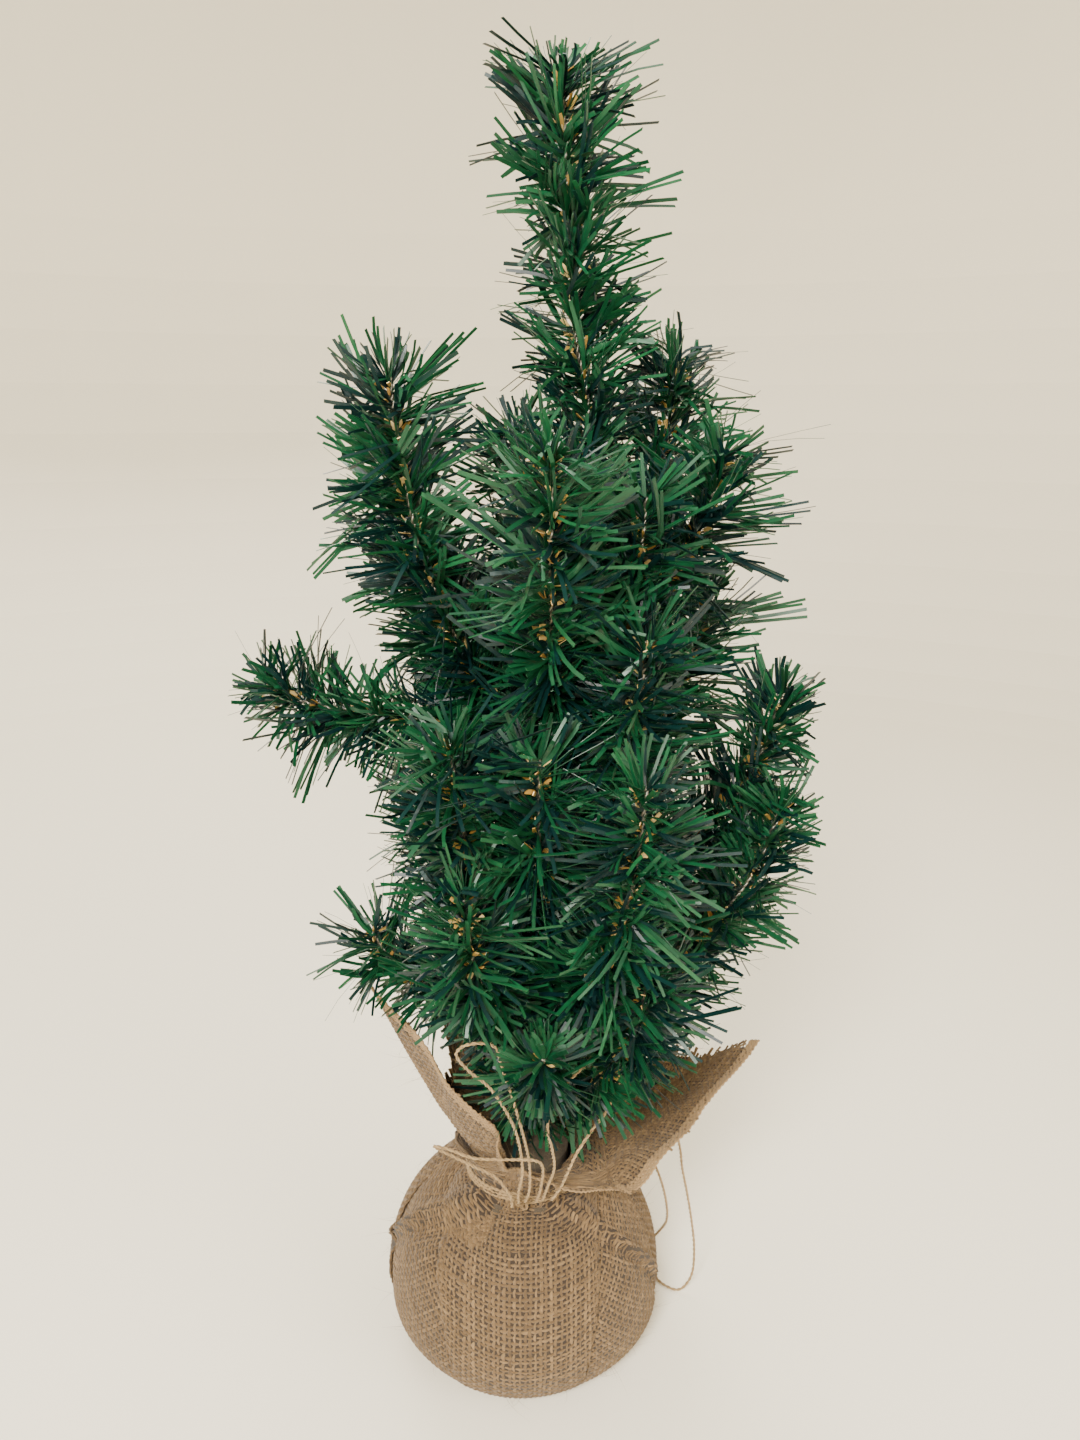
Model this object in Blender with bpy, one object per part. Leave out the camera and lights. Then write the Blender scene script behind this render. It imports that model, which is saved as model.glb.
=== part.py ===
"""Tabletop artificial tree on a burlap-wrapped weight.

A cast weight holds a bent trunk rod. A wrap of tape on the rod binds six whorls of
twisted-wire branches, each with a sleeve of needles, and the leader stands on top.
A square of burlap is gathered round the weight and tied at the neck with twine,
whose loops and tails hang free. Every branch bends at its root.

Frame: origin at the centre of the underside, +Z up, -Y to the front. Metres.
"""

import math

import bmesh
import bpy
from mathutils import Matrix, Vector
from mathutils.geometry import interpolate_bezier

MM = 0.001
GAP = 0.3 * MM  # between touching pieces

# Weight and its neck
BALL_RADIUS = 68 * MM  # widest radius, outside the burlap
BALL_WAIST = 25 * MM  # height of the widest ring
BASE_RADIUS = 50 * MM  # flat underside, outside the burlap
NECK_RADIUS = 28 * MM  # outside the burlap at the tie
NECK_HEIGHT = 90 * MM  # where the skirt starts
NECK_STRAIGHT = 8.5 * MM  # length of the neck that the tie is wound on
SHOULDER_GAP = 1 * MM  # between the ball's shoulder and the straight neck
NECK_TOP_OVER_TIE = 6 * MM  # the cast neck ends this far above it
CLOTH = 1.2 * MM
CAST_CLEARANCE = 5.0 * MM  # more room between the cast weight and the cloth's folds
CAST_CROWN = 2.0 * MM  # how much the cast neck's top rises towards the rod

# Stations of the burlap's outline: shares of the quarter turns below and above the
# widest ring, and shares of the skirt's reach
BALL_LOWER = (0.0, 0.25, 0.5, 0.75, 1.0)
BALL_UPPER = (0.25, 0.5, 0.7, 0.85)
SKIRT_STATIONS = (0.22, 0.45, 0.72, 1.0)

# Skirt of the burlap above the tie: bearing from +X in degrees, how far the cloth
# reaches past the tie in mm, and how far it leans out from upright in degrees
SKIRT = (
    (-180, 96, 26),
    (-145, 52, 22),
    (-95, 30, 20),
    (-55, 17, 45),
    (-25, 40, 68),
    (5, 104, 51),
    (40, 74, 42),
    (90, 84, 36),
    (140, 70, 30),
)

# Twine
TWINE_RADIUS = 0.7 * MM
TIE_TURNS = 3
TIE_STEPS = 22  # points to a turn
KNOT_RADIUS = 2.4 * MM
KNOT_LENGTH = 7 * MM
KNOT_STATIONS = (-1, -0.6, 0, 0.6, 1)  # along the knot, as shares of half its length
KNOT_SWELL = (0.4, 0.85, 1, 0.85, 0.4)  # its radius there

# Trunk
ROD_RADIUS = 3.0 * MM
ROD_FOOT = 14 * MM  # the rod stands on the bottom of its bore in the weight
ROD_TOP = 384 * MM
ROD_DRIFT = 21 * MM  # how far the top has bent to +X
ROD_CURVE = 1.3  # the power of the height that the drift goes with
TAPE = 0.8 * MM  # thickness of the wrap between the whorls
WRAP_OVER_TIE = 22 * MM  # where the wrap starts
WRAP_GAP = 0.5 * MM  # between the rod and the tape
BINDING_RADIUS = 5.0 * MM  # the wrap bulges to this over each whorl's roots
BINDING_HEIGHT = 9 * MM
BINDING_FLAT = 0.6  # share of that height at its full radius

# Branches
WHORLS = 6
FIRST_WHORL_OVER_TIE = 44 * MM
LAST_WHORL_BELOW_TOP = 35 * MM
WIRE_RADIUS = 1.0 * MM
NEEDLE_RADIUS = 8.0 * MM  # of the dense core of a sleeve
HINGE_CLEARANCE = 1.3 * MM  # between a binding and a branch's root
SPREAD = 0.90  # share of its reach that a branch covers before it turns up
LIFT = 0.25  # share of its rise that it has gained there
STRAIGHT = 0.5  # both shares, on a branch that doesn't turn up

# Leader
LEADER_LENGTH = 173 * MM
LEADER_NEEDLE_RADIUS = 11 * MM
LEADER_FIRST = 0.35  # the first sway is this share of a step above the root

# Round pieces
SIDES = 8
CLOTH_SIDES = 40

# Whorl, bearing in degrees from +X, reach in mm, rise in whorl pitches, and how much
# the branch turns up on its way, from 0 for straight to 1
BRANCHES = (
    (0, -85, 86, 1.50, 0.1),
    (0, -50, 77, 2.00, 1.0),
    (0, 16, 90, 1.95, 1.0),
    (0, 78, 74, 2.15, 1.0),
    (1, 188, 72, 0.85, 1.0),
    (1, -107, 84, 2.01, 1.0),
    (1, -65, 97, 3.10, 1.0),
    (1, -7, 107, 2.29, 1.0),
    (1, 134, 81, 2.11, 1.0),
    (2, -116, 74, 2.32, 1.0),
    (2, -90, 76, 2.25, 1.0),
    (2, 3, 105, 2.32, 1.0),
    (2, 53, 87, 2.27, 1.0),
    (3, -60, 72, 2.20, 1.0),
    (3, 22, 76, 2.32, 1.0),
    (3, 115, 80, 2.15, 1.0),
    (4, -92, 76, 2.75, 1.0),
    (4, -48, 50, 2.35, 1.0),
    (4, -156, 68, 3.38, 1.0),
    (4, 179, 124, 0.44, 1.0),
    (4, 152, 80, 2.55, 1.0),
    (5, -13, 63, 1.71, 1.0),
    (5, 34, 58, 2.57, 1.0),
    (5, 109, 61, 1.85, 1.0),
)

# Stations along a branch's wire, as shares of it; the sleeve spans the inner ones
STATIONS = (0.0, 0.18, 0.36, 0.58, 0.80, 0.985, 1.0)
SLEEVE_SWELL = (0.50, 0.95, 1.0, 0.90, 0.55)  # its radius at each station it spans

# The leader's sway to each side, from its root up, in mm
LEADER_SWAY = (0, 4, 6, 1, 0, -2, -4, -5)
LEADER_SWELL = (0.45, 0.80, 0.70, 0.80, 1.0, 0.50)

# Routes of the free twine, in mm, by hand
TWINE_ROUTES = {
    "twine_bow_left": (
        (-2, -36, 90), (-2, -40, 99), (0, -47, 118), (-3, -56, 145), (-12, -62, 168),
        (-21, -66, 180), (-26, -67, 188), (-23, -68, 193), (-16, -69, 195),
        (-10, -69, 193), (-8, -66, 183), (-4, -60, 164), (0, -53, 142), (3, -46, 120),
        (3, -40, 101), (1, -36, 91),
    ),
    "twine_bow_low": (
        (-5, -36, 88), (-6, -39, 97), (-12, -42, 109), (-21, -45, 117), (-30, -46, 123),
        (-37, -47, 128), (-38, -49, 131), (-32, -51, 131), (-21, -53, 128),
        (-8, -54, 128), (5, -52, 126), (9, -47, 118), (8, -41, 102), (6, -36, 91),
    ),
    "twine_tail_middle": (
        (9, -36, 92), (11, -40, 102), (14, -46, 117), (13, -51, 131), (11, -55, 144),
        (12, -56, 154), (15, -57, 162), (20, -58, 170), (25, -58, 176),
    ),
    "twine_tail_right": (
        (13, -34, 90), (17, -39, 101), (20, -45, 114), (24, -47, 126), (31, -44, 136),
        (37, -40, 142), (43, -34, 152), (49, -28, 162), (54, -22, 170), (56, -20, 175),
    ),
    "twine_loop_back": (
        (31, 13, 91), (36, 14, 95), (46, 9, 100), (56, 4, 96), (64, 3, 81),
        (69, 5, 66), (72, 8, 51), (73, 13, 38), (72, 22, 25), (69, 30, 12),
        (67, 32, 4), (66, 27, 1.0), (67, 18, 1.0), (72, 9, 1.0), (80, 5, 1.6),
        (86, 6, 10), (87, 8, 25), (85, 9, 42), (82, 9, 59), (79, 8, 74),
        (77, 6, 88), (73, 5, 100), (64, 9, 105), (51, 13, 103), (40, 17, 99),
        (32, 19, 93),
    ),
}
TWINE_STEP = 3 * 2 * TWINE_RADIUS  # between points along a free stretch


# ---------------------------------------------------------------- scene and materials


def clear_scene():
    for thing in list(bpy.data.objects):
        bpy.data.objects.remove(thing, do_unlink=True)


def material(name, colour, roughness, metallic=0.0):
    mat = bpy.data.materials.new(name)
    mat.use_nodes = True
    shader = mat.node_tree.nodes["Principled BSDF"]
    shader.inputs["Base Color"].default_value = (*colour, 1.0)
    shader.inputs["Roughness"].default_value = roughness
    shader.inputs["Metallic"].default_value = metallic
    return mat


def make_materials():
    return {
        "cement": material("cement", (0.46, 0.45, 0.42), 0.95),
        "burlap": material("burlap", (0.38, 0.25, 0.12), 0.95),
        "jute": material("jute", (0.50, 0.36, 0.18), 0.90),
        "steel": material("steel", (0.30, 0.31, 0.30), 0.45, 0.9),
        "tape": material("tape", (0.03, 0.12, 0.05), 0.60),
        "wire": material("wire", (0.55, 0.42, 0.20), 0.40, 0.8),
        "needles": material("needles", (0.02, 0.16, 0.05), 0.45),
    }


# ---------------------------------------------------------------- mesh helpers


def place(mesh_object, mat, origin=(0, 0, 0), parent=None):
    """Links an object whose vertices are in world places, with its origin at origin."""
    mesh_object.data.transform(Matrix.Translation(-Vector(origin)))
    mesh_object.location = origin
    mesh_object.data.materials.append(mat)
    bpy.context.scene.collection.objects.link(mesh_object)
    if parent:
        mesh_object.parent = parent
        mesh_object.matrix_parent_inverse = Matrix.Translation(-Vector(origin))
    return mesh_object


def skin(name, rings, looped=False):
    """A closed body through rings of equal length: capped at both ends, or looped."""
    bm = bmesh.new()
    loops = [[bm.verts.new(p) for p in ring] for ring in rings]
    pairs = list(zip(loops, loops[1:]))
    if looped:
        pairs.append((loops[-1], loops[0]))
    for low, high in pairs:
        for i in range(len(low)):
            j = (i + 1) % len(low)
            bm.faces.new((low[i], low[j], high[j], high[i]))
    if not looped:
        bm.faces.new(loops[0][::-1])
        bm.faces.new(loops[-1])
    bmesh.ops.recalc_face_normals(bm, faces=bm.faces)
    mesh = bpy.data.meshes.new(name)
    bm.to_mesh(mesh)
    bm.free()
    mesh.shade_smooth()
    mesh.set_sharp_from_angle(angle=math.radians(50))
    return bpy.data.objects.new(name, mesh)


def union(body, other):
    """Adds the other closed body to the first, as one solid."""
    bpy.context.scene.collection.objects.link(other)
    other.hide_render = True
    other.display_type = "WIRE"
    modifier = body.modifiers.new("union", "BOOLEAN")
    modifier.operation = "UNION"
    modifier.object = other
    return body


def frames_along(points):
    """A pair of cross axes at each point, turned as little as possible along the path."""
    points = [Vector(p) for p in points]
    tangents = []
    for i in range(len(points)):
        before = points[max(i - 1, 0)]
        after = points[min(i + 1, len(points) - 1)]
        tangents.append((after - before).normalized())
    side = tangents[0].cross(Vector((0, 1, 0.01))).normalized()
    frames = []
    for tangent in tangents:
        side = (side - tangent * side.dot(tangent)).normalized()
        frames.append((side, tangent.cross(side)))
    return frames


def rings_along(points, radii, sides=SIDES):
    rings = []
    for point, radius, (u, v) in zip(points, radii, frames_along(points)):
        ring = []
        for k in range(sides):
            angle = 2 * math.pi * k / sides
            ring.append(Vector(point) + radius * (math.cos(angle) * u + math.sin(angle) * v))
        rings.append(ring)
    return rings


def level_ring(radius, height, centre=(0, 0), sides=SIDES):
    ring = []
    for k in range(sides):
        angle = 2 * math.pi * k / sides
        x = centre[0] + radius * math.cos(angle)
        y = centre[1] + radius * math.sin(angle)
        ring.append(Vector((x, y, height)))
    return ring


def smooth_route(points, step):
    """Points about step apart on a smooth curve through the given ones."""
    points = [Vector(p) for p in points]
    fine = []
    for i in range(len(points) - 1):
        before = points[max(i - 1, 0)]
        after = points[min(i + 2, len(points) - 1)]
        handle_a = points[i] + (points[i + 1] - before) / 6
        handle_b = points[i + 1] - (after - points[i]) / 6
        piece = interpolate_bezier(points[i], handle_a, handle_b, points[i + 1], 24)
        fine += piece if i == 0 else piece[1:]
    lengths = [0.0]
    for a, b in zip(fine, fine[1:]):
        lengths.append(lengths[-1] + (b - a).length)
    count = max(4, round(lengths[-1] / step))
    route, at = [], 0
    for k in range(count + 1):
        wanted = lengths[-1] * k / count
        while at < len(lengths) - 2 and lengths[at + 1] < wanted:
            at += 1
        share = (wanted - lengths[at]) / (lengths[at + 1] - lengths[at])
        route.append(fine[at].lerp(fine[at + 1], min(share, 1.0)))
    return route


# ---------------------------------------------------------------- trunk


def pitch():
    """Height from one whorl to the next."""
    first = NECK_HEIGHT + FIRST_WHORL_OVER_TIE
    return (ROD_TOP - LAST_WHORL_BELOW_TOP - first) / (WHORLS - 1)


def whorl_height(whorl):
    return NECK_HEIGHT + FIRST_WHORL_OVER_TIE + whorl * pitch()


def trunk_centre(height):
    """The rod is straight to the tie, and bends gently to +X above it."""
    share = max(0.0, (height - NECK_HEIGHT) / (ROD_TOP - NECK_HEIGHT))
    return Vector((ROD_DRIFT * share**ROD_CURVE, 0, height))


def trunk_rod():
    heights = [ROD_FOOT, NECK_HEIGHT]
    heights += [whorl_height(w / 2) for w in range(2 * WHORLS - 1)]
    heights.append(ROD_TOP)
    points = [trunk_centre(h) for h in heights]
    return skin("trunk_rod", rings_along(points, [ROD_RADIUS] * len(points), 10))


def trunk_wrap():
    """Tape wound on the rod, thicker at each whorl, where it binds the branches."""
    plain = ROD_RADIUS + WRAP_GAP + TAPE
    profile = [(NECK_HEIGHT + WRAP_OVER_TIE, plain)]
    for whorl in range(WHORLS):
        middle = whorl_height(whorl)
        half = BINDING_HEIGHT / 2
        profile.append((middle - half, plain))
        profile.append((middle - BINDING_FLAT * half, BINDING_RADIUS))
        profile.append((middle + BINDING_FLAT * half, BINDING_RADIUS))
        profile.append((middle + half, plain))
    profile.append((ROD_TOP - HINGE_CLEARANCE, plain))
    points = [trunk_centre(height) for height, _ in profile]
    outer = rings_along(points, [radius for _, radius in profile])
    inner = rings_along(points, [ROD_RADIUS + WRAP_GAP] * len(points))
    return skin("trunk_wrap", outer + inner[::-1], looped=True)


# ---------------------------------------------------------------- branches


def bend(start, corner, end, share):
    """A point on the curve that leaves start towards corner and ends at end."""
    back = 1 - share
    return back * back * start + 2 * back * share * corner + share * share * end


def branch_root(whorl, bearing):
    out = Vector((math.cos(bearing), math.sin(bearing), 0))
    centre = trunk_centre(whorl_height(whorl))
    return centre + (BINDING_RADIUS + HINGE_CLEARANCE) * out


def branch_points(whorl, bearing, reach, rise, turn):
    out = Vector((math.cos(bearing), math.sin(bearing), 0))
    up = Vector((0, 0, 1))
    centre = trunk_centre(whorl_height(whorl))
    start = branch_root(whorl, bearing)
    spread = STRAIGHT + turn * (SPREAD - STRAIGHT)
    lift = STRAIGHT + turn * (LIFT - STRAIGHT)
    corner = centre + spread * reach * out + lift * rise * up
    end = centre + reach * out + rise * up
    return [bend(start, corner, end, share) for share in STATIONS]


def wire_and_sleeve(name, points, swell, core, mats, pivot):
    """A twisted wire and the sleeve of needles that it holds, bored for the wire."""
    radii = [WIRE_RADIUS] * len(points)
    wire_rings = rings_along(points, radii)
    outer = rings_along(points, [core] * len(points))[2:-1]
    inner = rings_along(points, [WIRE_RADIUS + GAP] * len(points))[2:-1]
    shaped = []
    for ring, centre, share in zip(outer, points[2:-1], swell):
        shaped.append([centre + share * (p - centre) for p in ring])
    wire = skin(name + "_wire", wire_rings)
    sleeve = skin(name + "_needles", shaped + inner[::-1], looped=True)
    place(wire, mats["wire"], points[0], pivot)
    place(sleeve, mats["needles"], points[0], pivot)


def pivot_at(name, point):
    pivot = bpy.data.objects.new(name, None)
    pivot.location = point
    pivot.empty_display_size = 5 * MM
    bpy.context.scene.collection.objects.link(pivot)
    return pivot


def branches(mats):
    for number, (whorl, bearing, reach, rise, turn) in enumerate(BRANCHES, start=1):
        name = f"branch_{number:02d}"
        angle = math.radians(bearing)
        points = branch_points(whorl, angle, reach * MM, rise * pitch(), turn)
        pivot = pivot_at(name + "_pivot", points[0])
        wire_and_sleeve(name, points, SLEEVE_SWELL, NEEDLE_RADIUS, mats, pivot)


def leader(mats):
    foot = trunk_centre(ROD_TOP) + Vector((0, 0, HINGE_CLEARANCE))
    points = [foot]
    for k, sway in enumerate(LEADER_SWAY):
        height = LEADER_LENGTH * (k + LEADER_FIRST) / (len(LEADER_SWAY) - 1 + LEADER_FIRST)
        points.append(foot + Vector((sway * MM, 0, height)))
    pivot = pivot_at("leader_pivot", foot)
    wire_and_sleeve("leader", points, LEADER_SWELL, LEADER_NEEDLE_RADIUS, mats, pivot)


# ---------------------------------------------------------------- weight and burlap


def ball_profile():
    """Outer radius and height of the burlap, from the underside up to the tie."""
    quarter = math.pi / 2
    shoulder = NECK_HEIGHT - NECK_STRAIGHT - SHOULDER_GAP - BALL_WAIST
    below = []
    for share in BALL_LOWER:
        angle = share * quarter
        radius = BASE_RADIUS + (BALL_RADIUS - BASE_RADIUS) * math.sin(angle)
        below.append((radius, BALL_WAIST * (1 - math.cos(angle))))
    above = []
    for share in BALL_UPPER:
        angle = share * quarter
        radius = NECK_RADIUS + (BALL_RADIUS - NECK_RADIUS) * math.cos(angle)
        above.append((radius, BALL_WAIST + shoulder * math.sin(angle)))
    neck = [(NECK_RADIUS, NECK_HEIGHT - NECK_STRAIGHT), (NECK_RADIUS, NECK_HEIGHT)]
    return below + above + neck


def skirt_side(bearing):
    """How far the skirt reaches at a bearing, and how it leans, eased between sides."""
    turned = (bearing + 180) % 360 - 180
    sides = SKIRT + ((SKIRT[0][0] + 360,) + SKIRT[0][1:],)
    for low, high in zip(sides, sides[1:]):
        if low[0] <= turned < high[0]:
            share = (turned - low[0]) / (high[0] - low[0])
            ease = (1 - math.cos(math.pi * share)) / 2
            reach = low[1] + (high[1] - low[1]) * ease
            lean = low[2] + (high[2] - low[2]) * ease
    return reach * MM, math.radians(lean)


def skirt_rings(inset):
    """Rings of the skirt above the tie, moved inwards by inset across the cloth."""
    rings = []
    for share in SKIRT_STATIONS:
        ring = []
        for k in range(CLOTH_SIDES):
            angle = 2 * math.pi * k / CLOTH_SIDES
            reach, lean = skirt_side(math.degrees(angle))
            radius = NECK_RADIUS + share * reach * math.sin(lean) - inset * math.cos(lean)
            height = NECK_HEIGHT + share * reach * math.cos(lean) + inset * math.sin(lean)
            ring.append(Vector((radius * math.cos(angle), radius * math.sin(angle), height)))
        rings.append(ring)
    return rings


def burlap_wrap():
    """The gathered square: underside, ball, neck and open skirt, one cloth thick."""
    outline = ball_profile()
    outer = [level_ring(r, z, sides=CLOTH_SIDES) for r, z in outline]
    inner = []
    for r, z in outline:
        inner.append(level_ring(r - CLOTH, max(z, CLOTH), sides=CLOTH_SIDES))
    rings = outer + skirt_rings(0.0) + skirt_rings(CLOTH)[::-1] + inner[::-1]
    return skin("burlap_wrap", rings)


def base_weight():
    """A cast lump that fills the burlap, with a neck to tie to and a bore for the rod."""
    clear = CLOTH + GAP
    outline = []
    for r, z in ball_profile():
        outline.append((r - clear - CAST_CLEARANCE, max(z, clear)))
    top = NECK_HEIGHT + NECK_TOP_OVER_TIE
    outline.append((outline[-1][0], top))
    bore = ROD_RADIUS + GAP
    outline += [(bore + CAST_CROWN, top + CAST_CROWN), (bore, top), (bore, ROD_FOOT - GAP)]
    rings = [level_ring(r, z, sides=CLOTH_SIDES) for r, z in outline]
    return skin("base_weight", rings)


# ---------------------------------------------------------------- twine


def twine_tie():
    """Turns wound round the neck, with the knot in front of them."""
    steps = TIE_STEPS
    radius = (NECK_RADIUS + GAP + TWINE_RADIUS) / math.cos(math.pi / steps)
    rise = 2 * TWINE_RADIUS + GAP
    middle = NECK_HEIGHT - NECK_STRAIGHT / 2
    points = []
    for k in range(TIE_TURNS * steps):
        angle = 2 * math.pi * k / steps - math.pi / 2
        height = middle + (k / steps - TIE_TURNS / 2) * rise
        points.append((radius * math.cos(angle), radius * math.sin(angle), height))
    turns = skin("twine_tie", rings_along(points, [TWINE_RADIUS] * len(points), 6))
    front = NECK_RADIUS + GAP + KNOT_RADIUS
    knot_points = [(x * KNOT_LENGTH / 2, -front, middle) for x in KNOT_STATIONS]
    knot = skin("knot_shape", rings_along(knot_points, [KNOT_RADIUS * s for s in KNOT_SWELL]))
    return union(turns, knot)


def free_twine(name, route, mat):
    """A plain tube along a free stretch of twine."""
    points = smooth_route([Vector(p) * MM for p in route], TWINE_STEP)
    curve = bpy.data.curves.new(name, "CURVE")
    curve.dimensions = "3D"
    curve.bevel_depth = TWINE_RADIUS
    curve.bevel_resolution = 2
    curve.use_fill_caps = True
    spline = curve.splines.new("POLY")
    spline.points.add(len(points) - 1)
    for place_on, point in zip(spline.points, points):
        place_on.co = (*point, 1.0)
    curve.materials.append(mat)
    bpy.context.scene.collection.objects.link(bpy.data.objects.new(name, curve))


# ---------------------------------------------------------------- the whole tree


def build():
    clear_scene()
    mats = make_materials()
    place(base_weight(), mats["cement"])
    place(burlap_wrap(), mats["burlap"])
    place(twine_tie(), mats["jute"])
    place(trunk_rod(), mats["steel"])
    place(trunk_wrap(), mats["tape"])
    branches(mats)
    leader(mats)
    for name, route in TWINE_ROUTES.items():
        free_twine(name, route, mats["jute"])


build()
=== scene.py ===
"""Looks of the tabletop artificial tree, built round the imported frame.

Every branch gets its own needles, flecks and twisted wires, in world places read from
the same few sizes as the solids. The burlap is a square of woven threads gathered
round the weight, and the twine is two plies twisted together. Metres, +Z up, -Y front.
"""

import math

import bpy
import numpy as np
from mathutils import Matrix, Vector
from mathutils.geometry import interpolate_bezier


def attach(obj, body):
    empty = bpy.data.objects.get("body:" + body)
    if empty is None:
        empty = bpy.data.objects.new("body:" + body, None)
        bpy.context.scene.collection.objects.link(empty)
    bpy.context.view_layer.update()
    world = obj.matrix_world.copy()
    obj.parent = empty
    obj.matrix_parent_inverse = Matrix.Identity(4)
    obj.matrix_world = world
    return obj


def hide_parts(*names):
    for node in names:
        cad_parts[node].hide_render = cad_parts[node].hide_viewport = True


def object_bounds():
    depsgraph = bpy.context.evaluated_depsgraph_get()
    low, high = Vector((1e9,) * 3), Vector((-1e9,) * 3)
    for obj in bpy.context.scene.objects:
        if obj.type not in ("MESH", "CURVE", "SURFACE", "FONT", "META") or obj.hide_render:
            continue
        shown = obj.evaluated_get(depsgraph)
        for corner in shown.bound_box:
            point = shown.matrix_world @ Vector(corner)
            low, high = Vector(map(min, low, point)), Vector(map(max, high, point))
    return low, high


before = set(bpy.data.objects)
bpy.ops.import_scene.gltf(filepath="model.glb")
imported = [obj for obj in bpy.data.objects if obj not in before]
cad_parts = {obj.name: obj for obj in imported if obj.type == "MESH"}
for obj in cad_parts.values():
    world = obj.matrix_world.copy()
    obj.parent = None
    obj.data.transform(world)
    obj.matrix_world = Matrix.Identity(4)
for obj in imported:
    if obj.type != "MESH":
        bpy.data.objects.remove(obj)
CAD_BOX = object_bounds()

MM = 0.001
RNG = np.random.default_rng(11)

# Weight, neck and cloth, as the solids have them
BALL_RADIUS = 68 * MM
BALL_WAIST = 25 * MM
BASE_RADIUS = 50 * MM
NECK_RADIUS = 28 * MM
NECK_HEIGHT = 90 * MM
NECK_STRAIGHT = 8.5 * MM
SHOULDER_GAP = 1 * MM
CLOTH = 1.2 * MM

# Trunk and branches, as the solids have them
ROD_TOP = 384 * MM
ROD_DRIFT = 21 * MM
ROD_CURVE = 1.3
WHORLS = 6
FIRST_WHORL = NECK_HEIGHT + 44 * MM
LAST_WHORL = ROD_TOP - 35 * MM
BINDING_RADIUS = 5.0 * MM
HINGE_CLEARANCE = 1.3 * MM
SPREAD = 0.90
LIFT = 0.25
STRAIGHT = 0.5
LEADER_LENGTH = 173 * MM
LEADER_SWAY = (0, 4, 6, 1, 0, -2, -4, -5)
LEADER_FIRST = 0.35

# Whorl, bearing in degrees, reach in mm, rise in whorl pitches, turn
BRANCHES = (
    (0, -85, 86, 1.50, 0.1),
    (0, -50, 77, 2.00, 1.0),
    (0, 16, 90, 1.95, 1.0),
    (0, 78, 74, 2.15, 1.0),
    (1, 188, 72, 0.85, 1.0),
    (1, -107, 84, 2.01, 1.0),
    (1, -65, 97, 3.10, 1.0),
    (1, -7, 107, 2.29, 1.0),
    (1, 134, 81, 2.11, 1.0),
    (2, -116, 74, 2.32, 1.0),
    (2, -90, 76, 2.25, 1.0),
    (2, 3, 105, 2.32, 1.0),
    (2, 53, 87, 2.27, 1.0),
    (3, -60, 72, 2.20, 1.0),
    (3, 22, 76, 2.32, 1.0),
    (3, 115, 80, 2.15, 1.0),
    (4, -92, 76, 2.75, 1.0),
    (4, -48, 50, 2.35, 1.0),
    (4, -156, 68, 3.38, 1.0),
    (4, 179, 124, 0.44, 1.0),
    (4, 152, 80, 2.55, 1.0),
    (5, -13, 63, 1.71, 1.0),
    (5, 34, 58, 2.57, 1.0),
    (5, 109, 61, 1.85, 1.0),
)

# Free stretches of twine: how the far end finishes, and the route in mm
TWINE_DIAMETER = 1.4 * MM
TWINES = {
    "twine_bow_left": ("object", (
        (-2, -36, 90), (-2, -40, 99), (0, -47, 118), (-3, -56, 145), (-12, -62, 168),
        (-21, -66, 180), (-26, -67, 188), (-23, -68, 193), (-16, -69, 195),
        (-10, -69, 193), (-8, -66, 183), (-4, -60, 164), (0, -53, 142), (3, -46, 120),
        (3, -40, 101), (1, -36, 91),
    )),
    "twine_bow_low": ("object", (
        (-5, -36, 88), (-6, -39, 97), (-12, -42, 109), (-21, -45, 117), (-30, -46, 123),
        (-37, -47, 128), (-38, -49, 131), (-32, -51, 131), (-21, -53, 128),
        (-8, -54, 128), (5, -52, 126), (9, -47, 118), (8, -41, 102), (6, -36, 91),
    )),
    "twine_tail_middle": ("bare", (
        (9, -36, 92), (11, -40, 102), (14, -46, 117), (13, -51, 131), (11, -55, 144),
        (12, -56, 154), (15, -57, 162), (20, -58, 170), (25, -58, 176),
    )),
    "twine_tail_right": ("bare", (
        (13, -34, 90), (17, -39, 101), (20, -45, 114), (24, -47, 126), (31, -44, 136),
        (37, -40, 142), (43, -34, 152), (49, -28, 162), (54, -22, 170), (56, -20, 175),
    )),
    "twine_loop_back": ("object", (
        (31, 13, 91), (36, 14, 95), (46, 9, 100), (56, 4, 96), (64, 3, 81),
        (69, 5, 66), (72, 8, 51), (73, 13, 38), (72, 22, 25), (69, 30, 12),
        (67, 32, 4), (66, 27, 1.0), (67, 18, 1.0), (72, 9, 1.0), (80, 5, 1.6),
        (86, 6, 10), (87, 8, 25), (85, 9, 42), (82, 9, 59), (79, 8, 74),
        (77, 6, 88), (73, 5, 100), (64, 9, 105), (51, 13, 103), (40, 17, 99),
        (32, 19, 93),
    )),
}


# ---------------------------------------------------------------- camera


CAMERA_PLACE = (0.0078, -0.441, 0.437)
CAMERA_PITCH = math.radians(73.9)
CAMERA_SENSOR = 36
CAMERA_LENS = 26.53


def make_camera():
    """The photograph's viewpoint: close, a little above the middle, looking down."""
    data = bpy.data.cameras.new("camera")
    data.sensor_width = CAMERA_SENSOR
    data.lens = CAMERA_LENS
    camera = bpy.data.objects.new("camera", data)
    camera.location = CAMERA_PLACE
    camera.rotation_euler = (CAMERA_PITCH, 0, 0)
    bpy.context.scene.collection.objects.link(camera)
    bpy.context.scene.camera = camera


# ---------------------------------------------------------------- numbers


def unit(vectors):
    return vectors / np.maximum(np.linalg.norm(vectors, axis=-1, keepdims=True), 1e-12)


def smoothstep(low, high, value):
    share = np.clip((value - low) / (high - low), 0, 1)
    return share * share * (3 - 2 * share)


def bell(value, centre, width):
    return np.exp(-(((value - centre) / width) ** 2))


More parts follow.
